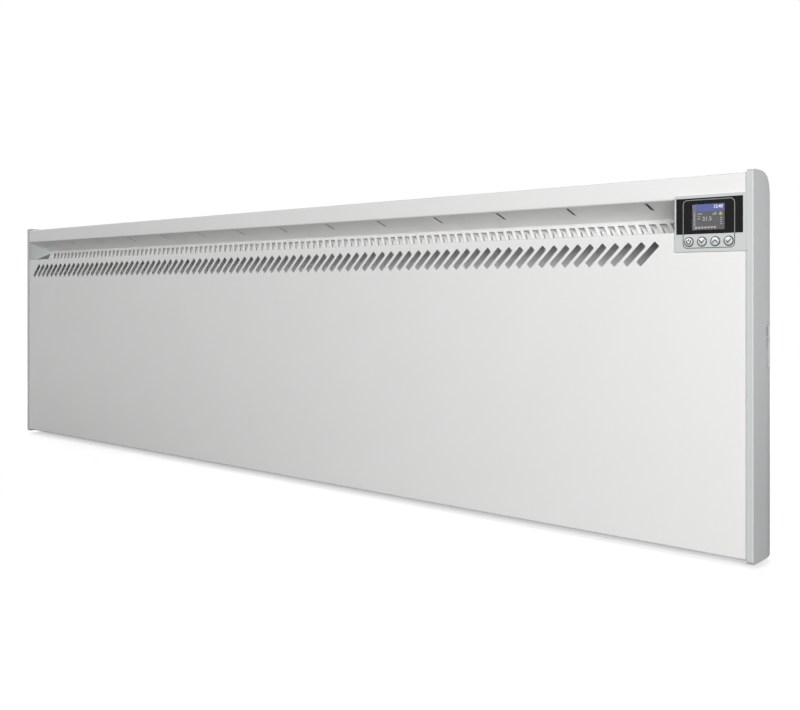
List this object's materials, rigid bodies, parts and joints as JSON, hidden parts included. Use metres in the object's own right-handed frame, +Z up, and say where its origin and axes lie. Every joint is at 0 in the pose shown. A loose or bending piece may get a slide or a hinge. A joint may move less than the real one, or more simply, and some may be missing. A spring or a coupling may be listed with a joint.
{
  "type": "wall panel convector heater",
  "caption": "Long low wall panel convector heater with an air outlet trough, diagonal slots, display and push buttons, hung on hooked wall brackets.",
  "frame": {"origin": "centre of the wall screw pattern, on the wall plane", "axes": "+X along the heater to the right seen from the room, +Y into the wall, +Z up"},
  "size_m": [1.4608, 0.0826, 0.4078],
  "materials": {
    "white_powder_coat": "fine-texture satin powder coat",
    "light_grey_moulding": "moulded ABS, fine spark grain",
    "zinc_plate": "bright zinc plate",
    "black_window": "polished acrylic",
    "display_glass": "colour display",
    "circuit_board": "solder mask",
    "black_moulding": "moulded nylon",
    "silver_button": "silver painted ABS",
    "grey_switch_moulding": "moulded polycarbonate",
    "smoked_lens": "smoked translucent polycarbonate",
    "ceramic_white": "unglazed steatite",
    "galvanised_sheet": "galvanised sheet",
    "extruded_aluminium": "mill finish",
    "steel_sheath": "annealed tube",
    "aluminised_sheet": "aluminised sheet",
    "black_rubber": "moulded rubber",
    "grey_rubber": "moulded rubber",
    "blue_film": "sleeved and dipped parts",
    "terminal_white": "moulded polyamide"
  },
  "bodies": {
    "wall_mount": {"wall_bracket_left": "galvanised_sheet", "wall_bracket_right": "galvanised_sheet"},
    "heater": {"front_panel": "white_powder_coat", "rear_panel": "white_powder_coat", "right_end_cap": "light_grey_moulding", "left_end_cap": "light_grey_moulding", "trough_seal": "grey_rubber", "right_cap_screws": "zinc_plate", "left_cap_screws": "zinc_plate", "bottom_flange_screws": "zinc_plate", "top_rivets": "white_powder_coat", "control_housing": "light_grey_moulding", "control_housing_screws": "zinc_plate", "display_window": "black_window", "display_module": "display_glass", "control_board": "circuit_board", "control_board_screws": "zinc_plate", "key_switches": "black_moulding", "power_switch_body": "grey_switch_moulding", "power_indicator_lens": "smoked_lens", "element_bushes": "ceramic_white", "element_bracket_left": "galvanised_sheet", "element_bracket_right": "galvanised_sheet", "element_bracket_screws": "zinc_plate", "element_profile_lower": "extruded_aluminium", "element_profile_upper": "extruded_aluminium", "element_rod_lower": "steel_sheath", "element_rod_upper": "steel_sheath", "heat_shield": "aluminised_sheet", "shield_standoffs": "galvanised_sheet", "shield_screws": "zinc_plate", "thermal_cutout": "black_moulding", "chamber_partition": "galvanised_sheet", "partition_screws": "zinc_plate", "wire_grommet": "black_rubber", "power_board": "circuit_board", "power_relay": "black_moulding", "mains_transformer": "black_moulding", "filter_capacitors": "blue_film", "terminal_block": "terminal_white", "board_standoffs": "terminal_white", "power_board_screws": "zinc_plate", "room_sensor": "black_moulding", "sensor_clip": "terminal_white", "cable_gland": "black_moulding", "gland_nut": "black_moulding"},
    "power_button": {"power_button": "silver_button"},
    "down_button": {"down_button": "silver_button"},
    "up_button": {"up_button": "silver_button"},
    "confirm_button": {"confirm_button": "silver_button"},
    "rocker": {"power_switch_rocker": "grey_switch_moulding"}
  },
  "joints": [
    {"name": "lift_off", "type": "slide", "parent": "wall_mount", "child": "heater", "axis": [0, 0, 1], "range_m": [0, 0.012]},
    {"name": "power_button_press", "type": "slide", "parent": "heater", "child": "power_button", "axis": [0, 1, 0], "range_m": [0, 0.0009], "stiffness_N_per_m": 500},
    {"name": "down_button_press", "type": "slide", "parent": "heater", "child": "down_button", "axis": [0, 1, 0], "range_m": [0, 0.0009], "stiffness_N_per_m": 500},
    {"name": "up_button_press", "type": "slide", "parent": "heater", "child": "up_button", "axis": [0, 1, 0], "range_m": [0, 0.0009], "stiffness_N_per_m": 500},
    {"name": "confirm_button_press", "type": "slide", "parent": "heater", "child": "confirm_button", "axis": [0, 1, 0], "range_m": [0, 0.0009], "stiffness_N_per_m": 500},
    {"name": "rocker_tilt", "type": "hinge", "parent": "heater", "child": "rocker", "pos_m": [0.7242, -0.0405, 0.01405], "axis": [0, -1, 0], "range_deg": [0, 16]}
  ]
}
